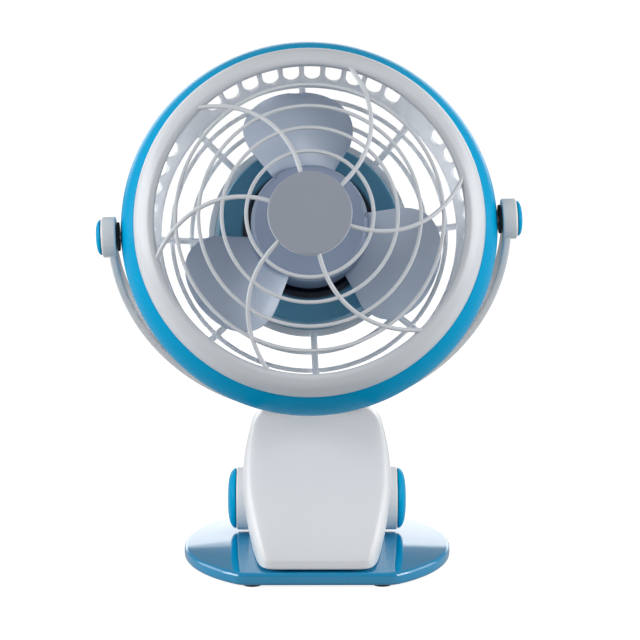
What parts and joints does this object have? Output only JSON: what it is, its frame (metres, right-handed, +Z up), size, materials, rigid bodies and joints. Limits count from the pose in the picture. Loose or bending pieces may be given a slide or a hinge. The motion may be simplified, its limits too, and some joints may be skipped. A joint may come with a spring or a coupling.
{
  "type": "clip fan",
  "caption": "Small clip-on desk fan: round guarded head in a U-shaped yoke on a sprung clip body with a round base plate.",
  "frame": {"origin": "on the base plate's flat underside, under the centre of its round edge; the feet reach 1.3 mm lower, to the desk", "axes": "+Z up, the fan blows towards -Y, +X to the right as seen from the front"},
  "size_m": [0.1652, 0.1019, 0.205],
  "materials": {
    "white_plastic": "satin",
    "blue_plastic": "gloss",
    "translucent_blade": "gloss",
    "cup_plastic": "gloss",
    "grille_plastic": "satin",
    "black_plastic": "matte",
    "rubber_pad": "matte",
    "steel": "satin",
    "magnet": "matte",
    "cell_sleeve": "gloss",
    "board": "satin",
    "brass": "satin"
  },
  "bodies": {
    "base": {"base_plate": "blue_plastic", "foot_front_left": "rubber_pad", "foot_front_right": "rubber_pad", "foot_rear_left": "rubber_pad", "foot_rear_right": "rubber_pad", "hinge_pin": "steel", "clip_spring": "steel"},
    "clip_body": {"body_shell": "white_plastic", "body_floor": "white_plastic", "floor_screw_left": "steel", "floor_screw_right": "steel", "lip_pad": "rubber_pad", "hinge_cap_left": "blue_plastic", "hinge_cap_right": "blue_plastic", "battery_cell": "cell_sleeve", "control_board": "board", "charge_socket": "steel", "tact_switch": "black_plastic"},
    "button": {"power_button": "blue_plastic"},
    "yoke": {"yoke_bracket": "white_plastic", "pivot_cap_left": "blue_plastic", "pivot_cap_right": "blue_plastic", "pivot_washer_left": "black_plastic", "pivot_washer_right": "black_plastic", "pivot_screw_left": "steel", "pivot_screw_right": "steel", "swivel_washer": "steel", "swivel_screw": "steel"},
    "head": {"front_grille": "grille_plastic", "grille_disc": "grille_plastic", "rim_band": "blue_plastic", "rear_bowl": "white_plastic", "housing_screw_45": "steel", "housing_screw_135": "steel", "housing_screw_225": "steel", "housing_screw_315": "steel", "motor_cup": "cup_plastic", "motor_cover": "blue_plastic", "cup_screw_30": "steel", "cup_screw_150": "steel", "cup_screw_270": "steel", "motor_can": "steel", "motor_end_cap": "black_plastic", "motor_magnet_left": "magnet", "motor_magnet_right": "magnet", "front_bearing": "brass", "rear_bearing": "brass", "motor_screw_upper": "steel", "motor_screw_lower": "steel"},
    "rotor": {"fan_blades": "translucent_blade", "motor_shaft": "steel", "motor_armature": "magnet"}
  },
  "joints": [
    {"name": "clip_open", "type": "hinge", "parent": "base", "child": "clip_body", "pos_m": [0, 0.017, 0.02], "axis": [-1, 0, 0], "range_deg": [0, 15], "stiffness_Nm_per_rad": 0.6, "springref_deg": -51.57, "deforming": ["clip_spring"]},
    {"name": "power_press", "type": "slide", "parent": "clip_body", "child": "button", "axis": [0, -1, 0], "range_m": [0, 0.0008], "stiffness_N_per_m": 900, "springref_m": -0.001},
    {"name": "yoke_swivel", "type": "hinge", "parent": "clip_body", "child": "yoke", "pos_m": [0, 0.015, 0.0564], "axis": [-0.0372, -0.2504, 0.9674], "range_deg": [-175, 175]},
    {"name": "head_tilt", "type": "hinge", "parent": "yoke", "child": "head", "pos_m": [-0.00298, -0.00508, 0.13399], "axis": [0.9989, 0.0186, 0.0432], "range_deg": [-75, 75]},
    {"name": "fan_spin", "type": "hinge", "parent": "head", "child": "rotor", "pos_m": [-0.00298, -0.00508, 0.13399], "axis": [-0.0057, 0.9597, -0.2811], "continuous": true}
  ]
}
